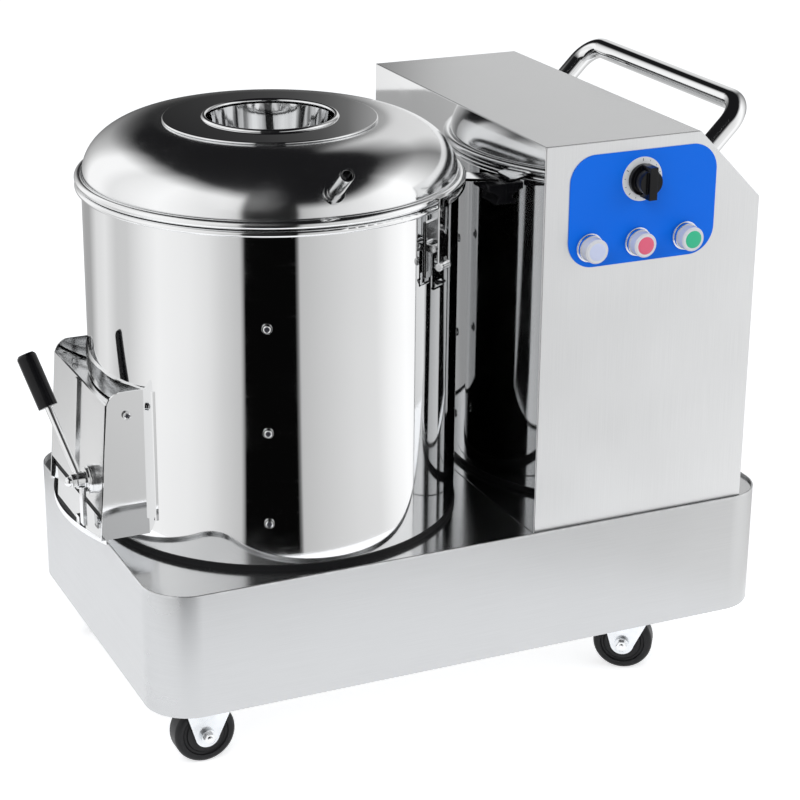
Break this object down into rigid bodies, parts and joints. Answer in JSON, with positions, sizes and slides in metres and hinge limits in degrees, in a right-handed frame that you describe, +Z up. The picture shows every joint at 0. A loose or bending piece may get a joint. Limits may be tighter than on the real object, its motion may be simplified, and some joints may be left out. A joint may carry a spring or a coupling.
{
  "type": "electric potato peeler",
  "caption": "Wheeled electric potato peeler: abrasive drum with spinning disc, domed feed lid, side discharge door, and a motor cabinet with timer, push buttons and handle.",
  "frame": {"origin": "on the floor, at the centre of the bounding box's footprint", "axes": "+X from the drum toward the motor cabinet and push handle, -Y the control side, +Z up"},
  "size_m": [0.7553, 0.4642, 0.63],
  "materials": {
    "brushed_stainless": "fine straight brushed stainless sheet",
    "polished_stainless": "mirror polished stainless",
    "zinc_steel": "bright zinc plated pressed steel",
    "black_rubber": "soft matt black rubber",
    "wheel_rubber": "hard moulded black rubber, lightly scuffed",
    "bonded_grit": "grey abrasive grit bonded to metal",
    "black_plastic": "matt black moulded plastic",
    "blue_film": "printed blue film with a thin dark edge",
    "white_plastic": "glossy white plastic",
    "red_plastic": "glossy red translucent plastic",
    "green_plastic": "glossy green translucent plastic",
    "motor_metal": "grey painted cast aluminium",
    "machined_steel": "turned steel",
    "pulley_iron": "turned grey cast iron",
    "bearing_steel": "ground bearing steel"
  },
  "bodies": {
    "frame": {"base_skirt": "brushed_stainless", "deck_plate": "brushed_stainless", "bottom_plate": "brushed_stainless", "caster_plates": "zinc_steel", "machine_screws": "zinc_steel", "drum_shell": "polished_stainless", "drum_gasket": "black_rubber", "liner_rivets": "polished_stainless", "abrasive_liner": "bonded_grit", "discharge_spout": "polished_stainless", "door_pivots": "polished_stainless", "door_keeper": "polished_stainless", "latch_bases": "polished_stainless", "interlock_switch": "black_plastic", "cabinet_shell": "polished_stainless", "cabinet_front": "brushed_stainless", "cabinet_back": "brushed_stainless", "control_label": "blue_film", "timer_dial": "white_plastic", "button_collars": "polished_stainless", "switch_bodies": "black_plastic", "push_handle": "polished_stainless", "motor_body": "motor_metal", "drive_belt": "black_rubber", "bearing_housing": "pulley_iron", "shaft_bearings": "bearing_steel", "shaft_seal": "black_rubber", "drain_pipe": "brushed_stainless", "cable_gland": "black_plastic"},
    "fork_fl": {"caster_fork_fl": "zinc_steel"},
    "wheel_fl": {"caster_wheel_fl": "wheel_rubber"},
    "fork_fr": {"caster_fork_fr": "zinc_steel"},
    "wheel_fr": {"caster_wheel_fr": "wheel_rubber"},
    "fork_bl": {"caster_fork_bl": "zinc_steel"},
    "wheel_bl": {"caster_wheel_bl": "wheel_rubber"},
    "fork_br": {"caster_fork_br": "zinc_steel"},
    "wheel_br": {"caster_wheel_br": "wheel_rubber"},
    "door": {"door_panel": "polished_stainless", "door_seal": "black_rubber", "lever_fasteners": "polished_stainless"},
    "lever": {"door_lever": "polished_stainless", "lever_grip": "black_plastic"},
    "lid": {"lid_dome": "polished_stainless", "lid_funnel": "polished_stainless", "lid_seal": "black_rubber", "water_inlet": "polished_stainless", "interlock_tab": "polished_stainless"},
    "latch_front": {"latch_lever_front": "polished_stainless"},
    "claw_front": {"latch_claw_front": "polished_stainless"},
    "latch_back": {"latch_lever_back": "polished_stainless"},
    "claw_back": {"latch_claw_back": "polished_stainless"},
    "knob": {"timer_knob": "black_plastic"},
    "button_white": {"white_button": "white_plastic"},
    "button_red": {"red_button": "red_plastic"},
    "button_green": {"green_button": "green_plastic"},
    "rotor": {"motor_shaft": "machined_steel", "motor_pulley": "pulley_iron"},
    "spindle": {"driven_pulley": "pulley_iron", "main_shaft": "machined_steel", "peeling_disc": "bonded_grit"}
  },
  "joints": [
    {"name": "swivel_fl", "type": "hinge", "parent": "frame", "child": "fork_fl", "pos_m": [-0.23895, -0.15995, 0.06], "axis": [0, 0, 1], "continuous": true},
    {"name": "roll_fl", "type": "hinge", "parent": "fork_fl", "child": "wheel_fl", "pos_m": [-0.25095, -0.15995, 0.032], "axis": [0, -1, 0], "continuous": true},
    {"name": "swivel_fr", "type": "hinge", "parent": "frame", "child": "fork_fr", "pos_m": [0.25005, -0.15995, 0.06], "axis": [0, 0, 1], "continuous": true},
    {"name": "roll_fr", "type": "hinge", "parent": "fork_fr", "child": "wheel_fr", "pos_m": [0.24022, -0.15307, 0.032], "axis": [-0.5736, -0.8192, 0], "continuous": true},
    {"name": "swivel_bl", "type": "hinge", "parent": "frame", "child": "fork_bl", "pos_m": [-0.23895, 0.15605, 0.06], "axis": [0, 0, 1], "continuous": true},
    {"name": "roll_bl", "type": "hinge", "parent": "fork_bl", "child": "wheel_bl", "pos_m": [-0.25095, 0.15605, 0.032], "axis": [0, -1, 0], "continuous": true},
    {"name": "swivel_br", "type": "hinge", "parent": "frame", "child": "fork_br", "pos_m": [0.25005, 0.15605, 0.06], "axis": [0, 0, 1], "continuous": true},
    {"name": "roll_br", "type": "hinge", "parent": "fork_br", "child": "wheel_br", "pos_m": [0.23877, 0.16015, 0.032], "axis": [-0.342, -0.9397, 0], "continuous": true},
    {"name": "door_hinge", "type": "hinge", "parent": "frame", "child": "door", "pos_m": [-0.29745, -0.00595, 0.354], "axis": [0, 1, 0], "range_deg": [0, 45]},
    {"name": "lever_turn", "type": "hinge", "parent": "door", "child": "lever", "pos_m": [-0.33658, -0.05845, 0.2785], "axis": [-1, 0, 0], "range_deg": [0, 60]},
    {"name": "lid_lift", "type": "slide", "parent": "frame", "child": "lid", "axis": [0, 0, 1], "range_m": [0, 0.2]},
    {"name": "latch_front_swing", "type": "hinge", "parent": "frame", "child": "latch_front", "pos_m": [-0.00139, -0.17234, 0.512], "axis": [-0.8387, -0.5446, 0], "range_deg": [0, 100]},
    {"name": "claw_front_swing", "type": "hinge", "parent": "latch_front", "child": "claw_front", "pos_m": [0.00187, -0.17737, 0.494], "axis": [-0.8387, -0.5446, 0], "range_deg": [-110, 0]},
    {"name": "latch_back_swing", "type": "hinge", "parent": "frame", "child": "latch_back", "pos_m": [-0.21751, 0.16044, 0.512], "axis": [0.8387, 0.5446, 0], "range_deg": [0, 100]},
    {"name": "claw_back_swing", "type": "hinge", "parent": "latch_back", "child": "claw_back", "pos_m": [-0.22077, 0.16547, 0.494], "axis": [0.8387, 0.5446, 0], "range_deg": [-110, 0]},
    {"name": "timer_turn", "type": "hinge", "parent": "frame", "child": "knob", "pos_m": [0.20255, -0.20895, 0.5677], "axis": [0, 1, 0], "range_deg": [0, 300]},
    {"name": "press_white", "type": "slide", "parent": "frame", "child": "button_white", "axis": [0, 1, 0], "range_m": [0, 0.003], "stiffness_N_per_m": 800, "springref_m": -0.002},
    {"name": "press_red", "type": "slide", "parent": "frame", "child": "button_red", "axis": [0, 1, 0], "range_m": [0, 0.003], "stiffness_N_per_m": 800, "springref_m": -0.002},
    {"name": "press_green", "type": "slide", "parent": "frame", "child": "button_green", "axis": [0, 1, 0], "range_m": [0, 0.003], "stiffness_N_per_m": 800, "springref_m": -0.002},
    {"name": "spindle_spin", "type": "hinge", "parent": "frame", "child": "spindle", "pos_m": [-0.10945, -0.00595, 0.228], "axis": [0, 0, 1], "continuous": true},
    {"name": "motor_spin", "type": "hinge", "parent": "frame", "child": "rotor", "pos_m": [0.21905, -0.00595, 0.123], "axis": [0, 0, 1], "continuous": true}
  ],
  "couplings": [
    {"joint": "claw_front_swing", "follows": "latch_front_swing", "ratio": -1.1},
    {"joint": "claw_back_swing", "follows": "latch_back_swing", "ratio": -1.1},
    {"joint": "motor_spin", "follows": "spindle_spin", "ratio": 3.931}
  ]
}
